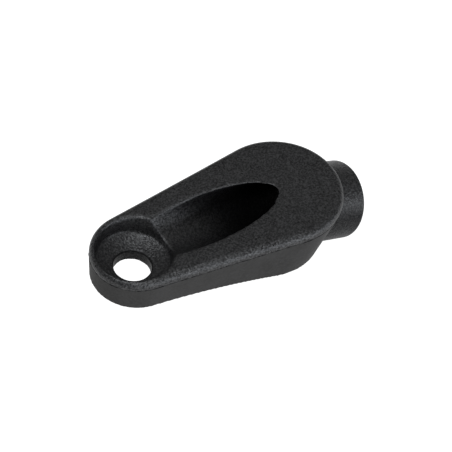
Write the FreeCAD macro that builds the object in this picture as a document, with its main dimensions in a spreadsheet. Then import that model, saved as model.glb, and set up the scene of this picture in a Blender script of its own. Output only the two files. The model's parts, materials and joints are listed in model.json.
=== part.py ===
"""Angled line exit: a teardrop fitting that lets a line leave a deck or spar at a low angle.

Origin: on the fixing hole's axis, in the flat base.  +X: towards the spigot.  +Z: up, away
from the base.  Millimetres and degrees.
"""
import FreeCAD, Part
import math
import os

import Sketcher

V = FreeCAD.Vector

SIZES = {
    # outline at the seam, measured in the seam's own plane
    "seam_narrow_center": 0.6,
    "seam_narrow_radius": 7.4,
    "seam_side_radius": 2000.0,
    "seam_wide_center": 25.2,
    "seam_wide_radius": 10.5,
    # the lower shell draws in towards the base, its sides are a little waisted there, and its
    # wide end is raked back
    "base_narrow_center": 0.5,
    "base_narrow_radius": 6.95,
    "base_side_radius": 140.0,
    "base_wide_center": 22.4,
    "base_wide_radius": 10.25,
    # heights on the hole's axis; the top face and the seam rise towards the spigot
    "top_height": 6.0,
    "cover_depth": 1.4,
    "wedge_angle": 4.5,
    "cover_edge_round": 1.2,
    # fixing hole and its sunk seat: an upright wall above a shallow spherical bowl
    "hole_radius": 2.9,
    "seat_radius": 5.9,
    "seat_wall_foot": 3.1,
    "seat_floor": 1.9,
    # line passage: it crosses the top face at slot_center and falls towards the spigot
    "slot_center": 11.4,
    "passage_angle": 15.5,
    "passage_radius": 4.5,
    "keel_radius": 6.0,
    "spigot_radius": 6.3,
    "spigot_root_radius": 5.4,
    # stations along the passage, from the point where it crosses the top face
    "spigot_root": 20.0,
    "spigot_shoulder": 23.4,
    "spigot_end": 28.0,
    "spigot_end_chamfer": 0.25,
    # how far the cutting shapes run past the body
    "overrun": 30.0,
}


def add_sheet(doc):
    """The driving sizes, one aliased cell each, and the sizes that follow from them."""
    sheet = doc.addObject("Spreadsheet::Sheet", "sizes")
    derived = {
        "seam_height": "=top_height - cover_depth",
        "slot_height": "=top_height + slot_center * tan(wedge_angle * 1 deg)",
        "seat_rise": "=seat_wall_foot - seat_floor",
        "dish_center": "=(seat_radius^2 - hole_radius^2 + seat_wall_foot^2 - seat_floor^2)"
                       " / (2 * seat_rise)",
        "dish_radius": "=sqrt(seat_radius^2 + (dish_center - seat_wall_foot)^2)",
    }
    rows = {**SIZES, **derived}
    for row, (name, value) in enumerate(rows.items(), start=1):
        sheet.set(f"A{row}", name)
        sheet.set(f"B{row}", str(value))
        sheet.setAlias(f"B{row}", name)
    doc.recompute()
    return sheet


def origin_plane(body, role):
    return next(item for item in body.Origin.OriginFeatures if item.Role == role)


def bind(sketch, kind, references, start_value, alias):
    """One dimension of a sketch, bound to a cell of the sheet."""
    index = sketch.addConstraint(Sketcher.Constraint(kind, *references, start_value))
    sketch.setExpression(f"Constraints[{index}]", f"sizes.{alias}")


def teardrop(body, level):
    """Two arcs centred on the X axis, joined on each side by a tangent arc that bows inwards."""
    first = SIZES[f"{level}_narrow_center"]
    second = SIZES[f"{level}_wide_center"]
    small = SIZES[f"{level}_narrow_radius"]
    large = SIZES[f"{level}_wide_radius"]
    bow = SIZES[f"{level}_side_radius"]
    # the side arc's centre stands bow + small from one end's centre and bow + large from the other
    span = second - first
    reach_x = (span ** 2 + (bow + small) ** 2 - (bow + large) ** 2) / (2 * span)
    reach_y = math.sqrt((bow + small) ** 2 - reach_x ** 2)
    narrow_turn = math.atan2(reach_y, reach_x)
    wide_turn = math.atan2(reach_y, reach_x - span)
    sketch = body.newObject("Sketcher::SketchObject", f"{body.Label}_{level}_outline")
    sketch.AttachmentSupport = [(origin_plane(body, "XY_Plane"), "")]
    sketch.MapMode = "FlatFace"

    def arc(center_x, center_y, radius, begin, finish):
        circle = Part.Circle(V(center_x, center_y, 0), V(0, 0, 1), radius)
        return sketch.addGeometry(Part.ArcOfCircle(circle, begin, finish))

    narrow = arc(first, 0, small, narrow_turn, 2 * math.pi - narrow_turn)
    wide = arc(second, 0, large, -wide_turn, wide_turn)
    far = arc(first + reach_x, reach_y, bow, math.pi + narrow_turn, math.pi + wide_turn)
    near = arc(first + reach_x, -reach_y, bow, math.pi - wide_turn, math.pi - narrow_turn)
    start, end, center = 1, 2, 3
    joints = ((narrow, start, far, start), (far, end, wide, end), (wide, start, near, start),
              (near, end, narrow, end))
    for joint in joints:
        sketch.addConstraint(Sketcher.Constraint("Tangent", *joint))
    for index, key, middle, radius in ((narrow, "narrow", first, small), (wide, "wide", second, large)):
        sketch.addConstraint(Sketcher.Constraint("PointOnObject", index, center, -1))
        bind(sketch, "DistanceX", (-1, 1, index, center), middle, f"{level}_{key}_center")
        bind(sketch, "Radius", (index,), radius, f"{level}_{key}_radius")
    for side in (far, near):
        bind(sketch, "Radius", (side,), bow, f"{level}_side_radius")
    return sketch


def lay_in_seam(sketch):
    """Put a sketch in the seam's plane, which rises towards the spigot."""
    sketch.AttachmentOffset = FreeCAD.Placement(V(0, 0, 0), FreeCAD.Rotation(V(0, -1, 0), 1))
    sketch.setExpression("AttachmentOffset.Base.z", "sizes.seam_height")
    sketch.setExpression("AttachmentOffset.Rotation.Angle", "sizes.wedge_angle * 1 deg")


def cover_blank(doc):
    """The cover before it is pierced: a slab with a rounded upper edge."""
    body = doc.addObject("PartDesign::Body", "cover_blank")
    outline = teardrop(body, "seam")
    lay_in_seam(outline)
    doc.recompute()
    slab = body.newObject("PartDesign::Pad", "cover_slab")
    slab.Profile = outline
    slab.setExpression("Length", "sizes.cover_depth")
    doc.recompute()
    upward = outline.Placement.Rotation.multVec(V(0, 0, 1))
    upper = max(slab.Shape.Faces, key=lambda face: face.CenterOfMass.dot(upward))
    edges = [f"Edge{number}" for number, edge in enumerate(slab.Shape.Edges, start=1)
             if any(edge.isSame(other) for other in upper.Edges)]
    rounding = body.newObject("PartDesign::Fillet", "cover_edge")
    rounding.Base = (slab, edges)
    rounding.setExpression("Radius", "sizes.cover_edge_round")
    return body


def base_blank(doc):
    """The lower shell before it is pierced: a loft from the base outline up to the seam."""
    body = doc.addObject("PartDesign::Body", "base_blank")
    foot = teardrop(body, "base")
    rim = teardrop(body, "seam")
    lay_in_seam(rim)
    doc.recompute()
    loft = body.newObject("PartDesign::AdditiveLoft", "base_walls")
    loft.Profile = foot
    loft.Sections = [rim]
    loft.Ruled = True
    return body


def along_passage(item, station):
    """Stand a cylinder or cone on the passage's axis, starting at the given station."""
    item.Placement = FreeCAD.Placement(V(0, 0, 0), FreeCAD.Rotation(V(0, 1, 0), 1))
    angle = "sizes.passage_angle * 1 deg"
    item.setExpression("Placement.Rotation.Angle", f"90 deg + {angle}")
    item.setExpression("Placement.Base.x", f"sizes.slot_center + ({station}) * cos({angle})")
    item.setExpression("Placement.Base.z", f"sizes.slot_height - ({station}) * sin({angle})")


def cylinder(doc, name, radius, length):
    item = doc.addObject("Part::Cylinder", name)
    item.setExpression("Radius", radius)
    item.setExpression("Height", length)
    return item


def join(doc, name, shapes):
    item = doc.addObject("Part::MultiFuse", name)
    item.Shapes = shapes
    return item


def cut(doc, name, base, tool):
    item = doc.addObject("Part::Cut", name)
    item.Base = base
    item.Tool = tool
    return item


def seat_tool(doc):
    """The space of the sunk seat with its dished floor, and of the hole below it."""
    well = cylinder(doc, "seat_well", "sizes.seat_radius", "sizes.top_height + sizes.overrun")
    dish = doc.addObject("Part::Sphere", "seat_dish")
    dish.setExpression("Radius", "sizes.dish_radius")
    dish.setExpression("Placement.Base.z", "sizes.dish_center")
    bowl = doc.addObject("Part::Common", "seat_bowl")
    bowl.Base = well
    bowl.Tool = dish
    hole = cylinder(doc, "seat_hole", "sizes.hole_radius", "2 * sizes.overrun")
    hole.setExpression("Placement.Base.z", "-sizes.overrun")
    return join(doc, "seat_space", [bowl, hole])


def passage_tool(doc):
    """The space of the line passage, with the wider socket that holds the spigot's root."""
    bore = cylinder(doc, "passage_bore", "sizes.passage_radius", "2 * sizes.overrun")
    along_passage(bore, "-sizes.overrun")
    socket = cylinder(doc, "spigot_socket", "sizes.spigot_root_radius", "sizes.overrun")
    along_passage(socket, "sizes.spigot_root")
    return join(doc, "passage_space", [bore, socket])


def keel(doc):
    """The round wall that carries the passage below the base and out to the spigot's shoulder."""
    barrel = cylinder(doc, "keel_barrel", "sizes.keel_radius", "sizes.spigot_shoulder")
    along_passage(barrel, "0")
    above = doc.addObject("Part::Box", "keel_trim")
    above.setExpression("Length", "4 * sizes.overrun")
    above.setExpression("Width", "2 * sizes.overrun")
    above.setExpression("Height", "sizes.overrun")
    above.Placement = FreeCAD.Placement(V(0, 0, 0), FreeCAD.Rotation(V(0, -1, 0), 1))
    above.setExpression("Placement.Rotation.Angle", "sizes.wedge_angle * 1 deg")
    above.setExpression("Placement.Base.x", "-2 * sizes.overrun * cos(sizes.wedge_angle * 1 deg)")
    above.setExpression("Placement.Base.y", "-sizes.overrun")
    above.setExpression("Placement.Base.z",
                        "sizes.seam_height - 2 * sizes.overrun * sin(sizes.wedge_angle * 1 deg)")
    return cut(doc, "keel_wall", barrel, above)


def spigot_tube(doc):
    """The tube that the line runs out through: a root, a shoulder and a chamfered free end."""
    root = cylinder(doc, "spigot_root", "sizes.spigot_root_radius",
                    "sizes.spigot_shoulder - sizes.spigot_root")
    along_passage(root, "sizes.spigot_root")
    blank = cylinder(doc, "spigot_blank", "sizes.spigot_radius",
                     "sizes.spigot_end - sizes.spigot_end_chamfer - sizes.spigot_shoulder")
    along_passage(blank, "sizes.spigot_shoulder")
    nose = doc.addObject("Part::Cone", "spigot_nose")
    nose.setExpression("Radius1", "sizes.spigot_radius")
    nose.setExpression("Radius2", "sizes.spigot_radius - sizes.spigot_end_chamfer")
    nose.setExpression("Height", "sizes.spigot_end_chamfer")
    along_passage(nose, "sizes.spigot_end - sizes.spigot_end_chamfer")
    bore = cylinder(doc, "spigot_bore", "sizes.passage_radius", "2 * sizes.overrun")
    along_passage(bore, "0")
    return cut(doc, "spigot_tube", join(doc, "spigot_body", [root, blank, nose]), bore)


def build():
    doc = FreeCAD.newDocument("angled_line_exit")
    add_sheet(doc)
    openings = join(doc, "openings", [seat_tool(doc), passage_tool(doc)])
    lower = join(doc, "lower_blank", [base_blank(doc), keel(doc)])
    pieces = [
        cut(doc, "top_cover", cover_blank(doc), openings),
        cut(doc, "lower_shell", lower, openings),
        spigot_tube(doc),
    ]
    doc.recompute()
    for item in doc.Objects:
        if {"Invalid", "Error"} & set(item.State):
            raise RuntimeError(f"{item.Name}: {item.State}")
    os.makedirs("parts", exist_ok=True)
    for piece in pieces:
        shape = piece.Shape
        if shape.isNull() or not shape.isValid() or len(shape.Solids) != 1:
            raise RuntimeError(f"{piece.Label} is not one sound solid")
        shape.exportStep(f"parts/{piece.Label}.step")
        box = shape.BoundBox
        print(piece.Label, round(shape.Volume, 1), "mm3,", *(round(size, 2) for size in (
            box.XMin, box.XMax, box.YMin, box.YMax, box.ZMin, box.ZMax)))


build()
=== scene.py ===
"""Angled line exit in black nylon: the looks of its three mouldings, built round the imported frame."""

import json
import math

import bmesh
import bpy
import numpy as np
from mathutils import Matrix, Vector


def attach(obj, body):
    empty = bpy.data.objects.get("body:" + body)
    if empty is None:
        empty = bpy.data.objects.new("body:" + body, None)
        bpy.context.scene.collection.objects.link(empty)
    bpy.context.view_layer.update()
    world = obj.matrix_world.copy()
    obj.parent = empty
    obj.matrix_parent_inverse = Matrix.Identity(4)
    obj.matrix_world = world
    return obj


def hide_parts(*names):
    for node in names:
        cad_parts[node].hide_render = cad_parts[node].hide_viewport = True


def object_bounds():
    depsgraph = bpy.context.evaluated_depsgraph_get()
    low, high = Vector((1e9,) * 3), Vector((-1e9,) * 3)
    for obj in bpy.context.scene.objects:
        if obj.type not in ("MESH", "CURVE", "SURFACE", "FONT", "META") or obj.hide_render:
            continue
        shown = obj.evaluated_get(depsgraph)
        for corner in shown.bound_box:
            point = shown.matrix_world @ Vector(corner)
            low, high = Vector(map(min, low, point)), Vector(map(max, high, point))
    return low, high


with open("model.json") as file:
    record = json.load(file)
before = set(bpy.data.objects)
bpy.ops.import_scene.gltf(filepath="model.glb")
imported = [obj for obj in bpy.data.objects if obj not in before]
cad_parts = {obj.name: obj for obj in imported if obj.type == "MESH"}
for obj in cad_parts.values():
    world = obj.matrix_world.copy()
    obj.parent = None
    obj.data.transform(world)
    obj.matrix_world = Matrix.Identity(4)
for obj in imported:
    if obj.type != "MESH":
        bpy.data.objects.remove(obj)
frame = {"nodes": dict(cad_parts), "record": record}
cad_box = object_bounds()

# Meshes are worked on in millimetres, and turned back to metres when a piece is finished.
MM = 0.001
VOXEL = 0.135  # spacing of the dense meshes

mounts = {m["name"]: m for m in frame["record"]["mounts"]}
PASSAGE_POINT = np.array(mounts["line_passage"]["pos_m"]) / MM
PASSAGE_AXIS = np.array(mounts["line_passage"]["axis"])
PASSAGE_RADIUS = mounts["line_passage"]["dims"]["r_mm"]
UPWARD = np.cross(PASSAGE_AXIS, (0, 1, 0))  # square to the passage, in the middle plane
HOLE_RADIUS = mounts["fixing_hole"]["dims"]["r_mm"]

# the body's outline, measured from the screw hole's axis
SEAT_REACH = 6.25  # just outside the screw seat's wall
SLOT_HALF_WIDTH = 5.6  # just outside the line slot, from the middle plane
SLOT_TIP = 30.5
NARROW_CENTRE = 0.6
WIDE_CENTRE = 25.2
BODY_MIDDLE = 14.0

BODY_INSET = 0.11  # room for the flash inside the body's own box
EDGE_EASE = 0.04  # how far the cover's lower edge eases inwards
FLASH = 0.055  # how far the flash stands out
SEAM_ROWS = (0.26, 0.16, 0.07, 0.0, -0.05, -0.11)  # heights of extra rows of vertices at the seam
SHOULDER_OVERLAP = 2.6  # how far the spigot's skin runs back under the cover
SHARP_ANGLE = 50  # degrees

TEXTURED, SATIN, DULL = range(3)  # material slots of the cover and the shell


# ---------------------------------------------------------------- meshes

def seam_plane():
    """A point on the seam and its upward normal, from the cover's flat underside."""
    mesh = frame["nodes"]["top_cover"].data
    under = [p for p in mesh.polygons if p.normal.z < -0.9]
    largest = max(under, key=lambda p: p.area)
    return np.array(largest.center) / MM, -np.array(largest.normal)


SEAM_POINT, SEAM_NORMAL = seam_plane()


def above_seam(co):
    return (co - SEAM_POINT) @ SEAM_NORMAL


def step(x, lo, hi):
    """0 below lo and 1 above hi, with a smooth rise between."""
    t = np.clip((x - lo) / (hi - lo), 0, 1)
    return t * t * (3 - 2 * t)


def vectors(collection, name):
    """One vector of every mesh element, as the rows of an array."""
    values = np.empty(len(collection) * 3)
    collection.foreach_get(name, values)
    return values.reshape(-1, 3)


def points(mesh):
    return vectors(mesh.vertices, "co")


def normals(mesh):
    return vectors(mesh.vertices, "normal")


def set_points(mesh, co):
    mesh.vertices.foreach_set("co", co.ravel())
    mesh.update()


def closed_copy(node, name):
    """A CAD node's mesh as a new object in millimetres, with its split corners joined."""
    bm = bmesh.new()
    bm.from_mesh(frame["nodes"][node].data)
    bmesh.ops.scale(bm, vec=(1 / MM,) * 3, verts=bm.verts)
    bmesh.ops.remove_doubles(bm, verts=bm.verts, dist=1e-4)
    mesh = bpy.data.meshes.new(name)
    bm.to_mesh(mesh)
    bm.free()
    obj = bpy.data.objects.new(name, mesh)
    bpy.context.scene.collection.objects.link(obj)
    return obj


def dense(obj, partner=None):
    """The object, joined to its partner, as one dense even mesh."""
    if partner is not None:
        both = obj.modifiers.new("both", "BOOLEAN")
        both.operation, both.solver, both.object = "UNION", "EXACT", partner
    voxels = obj.modifiers.new("voxels", "REMESH")
    voxels.mode, voxels.voxel_size, voxels.adaptivity = "VOXEL", VOXEL, 0
    graph = bpy.context.evaluated_depsgraph_get()
    mesh = bpy.data.meshes.new_from_object(obj.evaluated_get(graph))
    for spent in (obj, partner):
        if spent is not None:
            bpy.data.objects.remove(spent)
    return mesh


def relax(mesh, rounds, weight):
    """Evens the mesh out, each vertex moving towards the mean of its neighbours by its weight."""
    co = points(mesh)
    edges = np.empty(len(mesh.edges) * 2, np.int64)
    mesh.edges.foreach_get("vertices", edges)
    a, b = edges.reshape(-1, 2).T
    n = len(co)
    ends, others = np.concatenate([a, b]), np.concatenate([b, a])
    count = np.bincount(ends, minlength=n)
    for _ in range(rounds):
        mean = np.stack(
            [np.bincount(ends, co[others, k], minlength=n) / count for k in range(3)], 1
        )
        co += weight[:, None] * (mean - co)
    set_points(mesh, co)


def outer_wall(co):
    """Which points belong to the outside wall, not to the seat or the slot."""
    x, y = co[:, 0], np.abs(co[:, 1])
    beside = (y > SLOT_HALF_WIDTH) | (x > SLOT_TIP) | (x < 0)
    return (np.hypot(x, y) > SEAT_REACH) & beside


def outward(co):
    """The level direction away from the body's middle line, at each point."""
    away = co.copy()
    away[:, 0] -= np.clip(co[:, 0], NARROW_CENTRE, WIDE_CENTRE)
    away[:, 2] = 0
    return away / np.maximum(np.linalg.norm(away, axis=1), 1e-6)[:, None]


def body_mesh():
    """Cover and shell as one continuous surface, with the moulded rims rounded."""
    mesh = dense(closed_copy("lower_shell", "shell_work"), closed_copy("top_cover", "cover_work"))
    co = points(mesh)
    height, z = above_seam(co), co[:, 2]
    from_hole = np.hypot(co[:, 0], co[:, 1])
    seat_rim = (1 - step(from_hole, 6.4, 7.2)) * step(height, -1.0, 0.2)
    slot_rim = ~outer_wall(co) * step(height, 0.0, 1.0)
    base_edge = 1 - step(z, 0.3, 1.0)
    # where the seat's upright wall turns into its bowl
    foot = step(from_hole, 4.0, 4.8) * (1 - step(from_hole, 6.1, 6.5))
    foot *= step(z, 2.0, 2.5) * (1 - step(z, 4.4, 5.2))
    relax(mesh, 6, 0.4 + 0.2 * slot_rim - 0.25 * base_edge)
    relax(mesh, 14, 0.6 * slot_rim)
    relax(mesh, 30, 0.6 * np.maximum(seat_rim, foot))
    return mesh


def inset(mesh, depth):
    """Draws the outside wall in a little, so that what stands proud of it stays in the box."""
    co, normal = points(mesh), normals(mesh)
    facing = np.clip((normal * outward(co)).sum(1), 0, 1)
    facing *= np.hypot(co[:, 0], co[:, 1]) > SEAT_REACH
    co -= normal * (depth * facing)[:, None]
    set_points(mesh, co)


def seam_rows(mesh):
    """Adds rows of vertices along the seam, so that it can carry an eased edge and flash."""
    bm = bmesh.new()
    bm.from_mesh(mesh)
    for row in SEAM_ROWS:
        near = [f for f in bm.faces if abs(above_seam(np.array(f.calc_center_median())) - row) < 0.5]
        edges = {e for f in near for e in f.edges}
        verts = {v for f in near for v in f.verts}
        bmesh.ops.bisect_plane(
            bm, geom=near + list(edges) + list(verts), dist=1e-4,
            plane_co=SEAM_POINT + SEAM_NORMAL * row, plane_no=SEAM_NORMAL,
        )
    bm.to_mesh(mesh)
    bm.free()


def grained_faces(mesh):
    """Gives the top, the seat, the slot and the passage the textured slot, and the rest the satin one."""
    centres = vectors(mesh.polygons, "center")
    inside = ~outer_wall(centres) & (centres[:, 2] > 0.4)
    offset = centres - PASSAGE_POINT
    radial = np.linalg.norm(offset - (offset @ PASSAGE_AXIS)[:, None] * PASSAGE_AXIS, axis=1)
    bore = radial < PASSAGE_RADIUS + 0.35
    grained = (above_seam(centres) > 0) | inside | bore
    mesh.polygons.foreach_set("material_index", np.where(grained, TEXTURED, SATIN).astype(np.int32))


def half(mesh, side, name):
    """One side of the seam as a closed moulding: 1 is the cover, -1 the shell."""
    bm = bmesh.new()
    bm.from_mesh(mesh)
    drop = [f for f in bm.faces if side * above_seam(np.array(f.calc_center_median())) < 0]
    bmesh.ops.delete(bm, geom=drop, context="FACES")
    rim = [e for e in bm.edges if e.is_boundary]
    cap = bmesh.ops.triangle_fill(bm, use_beauty=True, edges=rim, normal=-SEAM_NORMAL * side)
    for f in cap["geom"]:
        if isinstance(f, bmesh.types.BMFace):
            f.material_index = DULL
    bmesh.ops.recalc_face_normals(bm, faces=bm.faces)
    out = bpy.data.meshes.new(name)
    bm.to_mesh(out)
    bm.free()
    return out


def ripple(t, seed, turns):
    """A smooth irregular wave round a closed line, mostly between -1 and 1, with t from 0 to 1."""
    rng = np.random.default_rng(seed)
    wave = np.zeros_like(t)
    for k in turns:
        wave += np.sin(2 * math.pi * (k * t + rng.random()))
    return wave / math.sqrt(len(turns))


def along_seam(co):
    """How far round the outline a point lies, from 0 to 1."""
    return (np.arctan2(co[:, 1], co[:, 0] - BODY_MIDDLE) / (2 * math.pi)) % 1.0


def dress_seam(mesh, side):
    """The cover's lower edge eases inwards, and the shell's upper edge carries broken flash."""
    co = points(mesh)
    height, t = above_seam(co), along_seam(co)
    flat = normals(mesh)
    flat = flat - (flat @ SEAM_NORMAL)[:, None] * SEAM_NORMAL
    flat /= np.maximum(np.linalg.norm(flat, axis=1), 1e-6)[:, None]
    if side > 0:
        uneven = 0.7 + 0.3 * ripple(t, 3, (7, 19, 31))
        push = -EDGE_EASE * (1 - step(height, 0.02, 0.28)) * uneven
        reach = height < 0.3
    else:
        dashes = step(ripple(t, 11, (23, 41, 67, 97, 131)), -0.2, 0.8)
        push = FLASH * dashes * (1 - step(np.abs(height + 0.03), 0.02, 0.09))
        reach = height > -0.14
    moved = outer_wall(co) & reach
    co[moved] += flat[moved] * push[moved, None]
    set_points(mesh, co)


def tube_mesh():
    """The spigot, with its shoulder run back into the shell so that no gap shows round it."""
    work = closed_copy("spigot_tube", "tube_work")
    co = points(work.data) - PASSAGE_POINT
    station = co @ PASSAGE_AXIS
    spread = np.linalg.norm(co - station[:, None] * PASSAGE_AXIS, axis=1)
    shoulder = station[spread > spread.max() - 0.1].min()
    tail = (np.abs(station - shoulder) < 0.05) & (spread > PASSAGE_RADIUS + 0.5)
    co[tail] -= PASSAGE_AXIS * SHOULDER_OVERLAP
    set_points(work.data, co + PASSAGE_POINT)
    mesh = dense(work)
    relax(mesh, 6, np.full(len(mesh.vertices), 0.4))
    return mesh


def finish_piece(mesh, name, node):
    """Back to metres, smooth shaded with sharp corners kept, riding in its CAD node's place."""
    set_points(mesh, points(mesh) * MM)
    mesh.polygons.foreach_set("use_smooth", np.ones(len(mesh.polygons), bool))
    mesh.set_sharp_from_angle(angle=math.radians(SHARP_ANGLE))
    piece = bpy.data.objects.new(name, mesh)
    bpy.context.scene.collection.objects.link(piece)
    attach(piece, "root")
    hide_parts(node)


# ---------------------------------------------------------------- materials

class Nodes:
    """A short way to write a shader tree."""

    def __init__(self, owner):
        owner.use_nodes = True
        self.tree = owner.node_tree
        self.tree.nodes.clear()

    def add(self, kind, **settings):
        node = self.tree.nodes.new(kind)
        for key, value in settings.items():
            if hasattr(node, key):
                setattr(node, key, value)
            else:
                self.put(node, key.replace("_", " "), value)
        return node

    def put(self, node, socket, value):
        target = node.inputs[socket]
        if isinstance(value, bpy.types.NodeSocket):
            self.tree.links.new(value, target)
        else:
            target.default_value = value

    def noise(self, where, scale, detail, roughness):
        node = self.add("ShaderNodeTexNoise", Vector=where, Scale=scale, Detail=detail,
                        Roughness=roughness)
        return node.outputs["Fac"]

    def cells(self, where, scale):
        return self.add("ShaderNodeTexVoronoi", Vector=where, Scale=scale)

    def ramp(self, value, lo, hi, out_lo=0.0, out_hi=1.0):
        node = self.add("ShaderNodeMapRange", interpolation_type="SMOOTHSTEP")
        for socket, number in zip(("Value", "From Min", "From Max", "To Min", "To Max"),
                                  (value, lo, hi, out_lo, out_hi)):
            self.put(node, socket, number)
        return node.outputs["Result"]

    def math(self, operation, a, b):
        node = self.add("ShaderNodeMath", operation=operation)
        self.put(node, 0, a)
        self.put(node, 1, b)
        return node.outputs[0]

    def vector(self, operation, a, b, output="Vector"):
        node = self.add("ShaderNodeVectorMath", operation=operation)
        self.put(node, 0, a)
        self.put(node, 1, b)
        return node.outputs[output]

    def scaled(self, vector, factor):
        node = self.add("ShaderNodeVectorMath", operation="SCALE")
        self.put(node, 0, vector)
        self.put(node, "Scale", factor)
        return node.outputs[0]

    def blend(self, factor, a, b):
        node = self.add("ShaderNodeMix", data_type="RGBA")
        self.put(node, "Factor", factor)
        for socket, value in ((6, a), (7, b)):
            self.put(node, socket, value if isinstance(value, bpy.types.NodeSocket) else (*value, 1.0))
        return node.outputs[2]


def painted_light_level(n, where, offset):
    """1 on the outside, falling to 0 down the line passage and to 0.3 in the screw hole.

    This is painted shade: the colour and sheen are darkened down the line passage and in the screw hole,
    where shade falls. It follows the object's own axes and is the same on both sides.
    """
    station = n.vector("DOT_PRODUCT", offset, tuple(PASSAGE_AXIS), "Value")
    on_axis = n.scaled(tuple(PASSAGE_AXIS), station)
    radial = n.vector("DISTANCE", offset, on_axis, "Value")
    from_seam = n.vector("SUBTRACT", where, tuple(SEAM_POINT))
    above = n.vector("DOT_PRODUCT", from_seam, tuple(SEAM_NORMAL), "Value")
    down_passage = n.math("MULTIPLY", n.ramp(station, -32.0, -13.0), n.ramp(above, 1.1, 0.5))
    # painted shade down the line passage
    passage_shade = n.math("MULTIPLY", n.ramp(radial, PASSAGE_RADIUS + 0.6, PASSAGE_RADIUS + 0.25), down_passage)

    flat = n.vector("MULTIPLY", where, (1.0, 1.0, 0.0))
    from_hole = n.vector("LENGTH", flat, (0.0, 0.0, 0.0), "Value")
    # painted shade in the screw hole
    hole_shade = n.ramp(from_hole, HOLE_RADIUS + 0.3, HOLE_RADIUS + 0.12)
    return n.math("SUBTRACT", 1.0, n.math("MAXIMUM", passage_shade, n.math("MULTIPLY", hole_shade, 0.7)))


def lighter(colour, amount):
    return tuple(v + amount for v in colour)


def nylon(name, dark, light, grain_size, grain_depth, rough, speck, edge_highlight, gloss, mottle,
          grained_gloss=False, dull_below=None):
    """Black glass-filled nylon, with its grain's size and depth in millimetres.

    dull_below gives two heights over the passage's axis, between which the sheen comes up.
    """
    material = bpy.data.materials.new(name)
    n = Nodes(material)
    where = n.scaled(n.add("ShaderNodeTexCoord").outputs["Object"], 1 / MM)
    offset = n.vector("SUBTRACT", where, tuple(PASSAGE_POINT))
    # painted light level: low where shade is painted in the passage and the screw hole
    painted_light = painted_light_level(n, where, offset)

    fine = n.noise(where, 1 / grain_size, 3.0, 0.65)
    pits = n.cells(where, 0.8 / grain_size).outputs["Distance"]
    cloud = n.noise(where, 0.35, 3.0, 0.6)

    # glass flecks: the middles of a few cells
    fleck_cells = n.cells(where, 3.1)
    fleck_pick = n.add("ShaderNodeSeparateColor")
    n.put(fleck_pick, 0, fleck_cells.outputs["Color"])
    fleck = n.math("MULTIPLY", n.ramp(fleck_cells.outputs["Distance"], 0.3, 0.12),
                   n.ramp(fleck_pick.outputs[0], 0.78, 0.9))

    # painted highlight: lighter colour along the proud edges, broken up by noise
    edge = n.ramp(n.add("ShaderNodeNewGeometry").outputs["Pointiness"], 0.505, 0.56)
    painted_edge_highlight = n.math("MULTIPLY", edge, n.ramp(n.noise(where, 1.9, 4.0, 0.7), 0.35, 0.62))

    base = n.blend(n.ramp(cloud, 0.3, 0.7), dark, light)
    base = n.blend(n.math("MULTIPLY", n.ramp(fine, 0.4, 0.66), mottle), base, lighter(light, 0.026))
    base = n.blend(n.math("MULTIPLY", fleck, speck), base, lighter(light, 0.05))
    # painted highlight along the proud edges
    base = n.blend(n.math("MULTIPLY", painted_edge_highlight, edge_highlight), base, lighter(light, 0.035))
    # painted shade: the colour goes near black down the passage and in the screw hole
    base = n.blend(painted_light, (0.0015, 0.0015, 0.0015), base)

    roughness = n.math("ADD", n.ramp(fine, 0.3, 0.7, rough - 0.06, rough + 0.06),
                       n.ramp(cloud, 0.3, 0.7, -0.02, 0.03))
    roughness = n.math("SUBTRACT", roughness, n.math("MULTIPLY", fleck, 0.12 * speck))

    bump = n.add("ShaderNodeBump")
    n.put(bump, "Height", n.math("ADD", fine, n.math("MULTIPLY", pits, 0.6)))
    n.put(bump, "Distance", grain_depth * MM)
    n.put(bump, "Strength", 1.0)

    shader = n.add("ShaderNodeBsdfPrincipled")
    n.put(shader, "Base Color", base)
    n.put(shader, "Roughness", roughness)
    n.put(shader, "IOR", 1.5)
    n.put(shader, "Specular IOR Level", gloss)
    n.put(shader, "Normal", bump.outputs["Normal"])
    if grained_gloss:
        swing = 1.1 * mottle
        sheen = n.ramp(fine, 0.34, 0.66, gloss * (1 - swing), gloss * (1 + swing))
        # painted shade: the sheen fades down the passage and in the screw hole
        sheen = n.math("MULTIPLY", sheen, n.ramp(painted_light, 0.0, 1.0, 0.06, 1.0))
        if dull_below:
            lift = n.vector("DOT_PRODUCT", offset, tuple(UPWARD), "Value")
            sheen = n.math("MULTIPLY", sheen, n.ramp(lift, *dull_below, 0.2, 1.0))
        n.put(shader, "Specular IOR Level", sheen)
    out = n.add("ShaderNodeOutputMaterial")
    n.put(out, "Surface", shader.outputs["BSDF"])
    return material


GRAINED = dict(dark=(0.0035, 0.0035, 0.0038), light=(0.006, 0.006, 0.0065), grain_size=0.29,
               grain_depth=0.08, rough=0.34, speck=0.6, edge_highlight=0.35, gloss=0.52, grained_gloss=True)

textured = nylon("textured_nylon", mottle=0.44, **GRAINED)
spigot_nylon = nylon("spigot_nylon", mottle=0.4, dull_below=(1.5, 5.0), **GRAINED)
satin = nylon("satin_nylon", dark=(0.031, 0.030, 0.029), light=(0.039, 0.038, 0.037),
              grain_size=0.4, grain_depth=0.03, rough=0.5, speck=0.1, edge_highlight=0.1, gloss=0.05, mottle=0.3)
dull = nylon("dull_nylon", dark=(0.005, 0.005, 0.005), light=(0.008, 0.008, 0.008),
             grain_size=0.4, grain_depth=0.03, rough=0.55, speck=0.1, edge_highlight=0.1, gloss=0.1, mottle=0.2)


# ---------------------------------------------------------------- pieces

body = body_mesh()
inset(body, BODY_INSET)
seam_rows(body)
grained_faces(body)
for side, name, node, slot in ((1, "cover_moulding", "top_cover", "textured_nylon"),
                               (-1, "shell_moulding", "lower_shell", "satin_nylon")):
    mesh = half(body, side, name)
    for material in (textured, satin, dull):
        mesh.materials.append(material)
    dress_seam(mesh, side)
    finish_piece(mesh, name, node)
bpy.data.meshes.remove(body)

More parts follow.
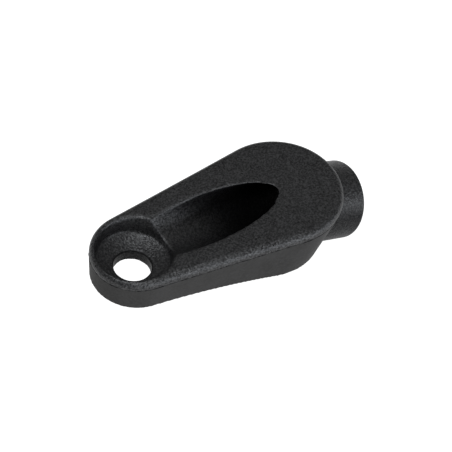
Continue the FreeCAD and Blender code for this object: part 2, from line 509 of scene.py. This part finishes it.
tube = tube_mesh()
tube.materials.append(spigot_nylon)
finish_piece(tube, "spigot_moulding", "spigot_tube")


# ---------------------------------------------------------------- stage, lights and camera

FLOOR_REACH = 3.0  # metres
FLOOR_GAP = 0.0001


def pale_floor():
    """A white sheet just under the object, which lights it less than it shows."""
    r = FLOOR_REACH
    mesh = bpy.data.meshes.new("floor")
    mesh.from_pydata([(-r, -r, 0), (r, -r, 0), (r, r, 0), (-r, r, 0)], [], [(0, 1, 2, 3)])
    floor = bpy.data.objects.new("floor", mesh)
    floor.location.z = cad_box[0][2] - FLOOR_GAP
    bpy.context.scene.collection.objects.link(floor)
    paper = bpy.data.materials.new("white_paper")
    n = Nodes(paper)
    sheet = n.add("ShaderNodeBsdfPrincipled")
    n.put(sheet, "Base Color", (0.3, 0.3, 0.3, 1.0))
    n.put(sheet, "Roughness", 0.9)
    n.put(sheet, "Specular IOR Level", 0.0)
    n.put(sheet, "Emission Color", (1.0, 1.0, 1.0, 1.0))
    on_view = n.add("ShaderNodeLightPath").outputs["Is Camera Ray"]
    n.put(sheet, "Emission Strength", n.ramp(on_view, 0.0, 1.0, 0.62, 1.0))
    out = n.add("ShaderNodeOutputMaterial")
    n.put(out, "Surface", sheet.outputs["BSDF"])
    mesh.materials.append(paper)


def studio_world():
    """White to look at, and to the object a soft dome that is brighter overhead."""
    world = bpy.data.worlds.new("studio")
    bpy.context.scene.world = world
    n = Nodes(world)
    sky = n.add("ShaderNodeSeparateXYZ", Vector=n.add("ShaderNodeTexCoord").outputs["Generated"])
    graded = n.ramp(sky.outputs["Z"], 0.1, 0.7, 0.04, 0.5)
    on_view = n.add("ShaderNodeLightPath").outputs["Is Camera Ray"]
    shade = n.add("ShaderNodeBackground")
    n.put(shade, "Strength", n.math("MAXIMUM", graded, on_view))
    out = n.add("ShaderNodeOutputWorld")
    n.put(out, "Surface", shade.outputs[0])


def bearing(azimuth, elevation):
    """The direction away from the object. Azimuth 0 is -Y, and +X is 90 degrees on."""
    a, e = math.radians(azimuth), math.radians(elevation)
    return Vector((math.sin(a) * math.cos(e), -math.cos(a) * math.cos(e), math.sin(e)))


def softbox(name, azimuth, elevation, distance, width, height, radiance, colour):
    """A soft light that faces the object, sized in metres."""
    light = bpy.data.lights.new(name, "AREA")
    light.shape, light.size, light.size_y = "RECTANGLE", width, height
    light.energy, light.color = radiance * math.pi * width * height, colour
    obj = bpy.data.objects.new(name, light)
    away = bearing(azimuth, elevation)
    centre = Vector(((cad_box[0][i] + cad_box[1][i]) / 2 for i in range(3)))
    obj.location = centre + away * distance
    obj.rotation_euler = away.to_track_quat("Z", "Y").to_euler()
    bpy.context.scene.collection.objects.link(obj)


# the camera: azimuth, elevation and roll in degrees, distance and aim in metres, focal in mm
AZIMUTH, ELEVATION, ROLL = -39.04, 47.61, 10.65
DISTANCE, FOCAL = 0.2480, 127.43
AIM = Vector((0.01691, 0.00067, 0.00223))


def add_camera():
    azimuth, roll = math.radians(AZIMUTH), math.radians(ROLL)
    back = bearing(AZIMUTH, ELEVATION)
    level = Vector((math.cos(azimuth), math.sin(azimuth), 0))
    right = level * math.cos(roll) + back.cross(level) * math.sin(roll)
    turn = Matrix((right, back.cross(right), back)).transposed()
    camera = bpy.data.objects.new("camera", bpy.data.cameras.new("camera"))
    bpy.context.scene.collection.objects.link(camera)
    camera.data.sensor_width = 36.0
    camera.data.lens = FOCAL
    camera.data.clip_start = 0.01
    camera.data.clip_end = 20.0
    camera.matrix_world = Matrix.Translation(AIM + back * DISTANCE) @ turn.to_4x4()
    bpy.context.scene.camera = camera


pale_floor()
studio_world()
softbox("overhead", -60, 66, 0.6, 0.4, 0.25, 6.0, (0.93, 0.96, 1.0))
softbox("front", 15, 12, 0.55, 0.9, 0.22, 4.2, (0.90, 0.94, 1.0))
add_camera()
bpy.context.scene.view_settings.view_transform = "Standard"
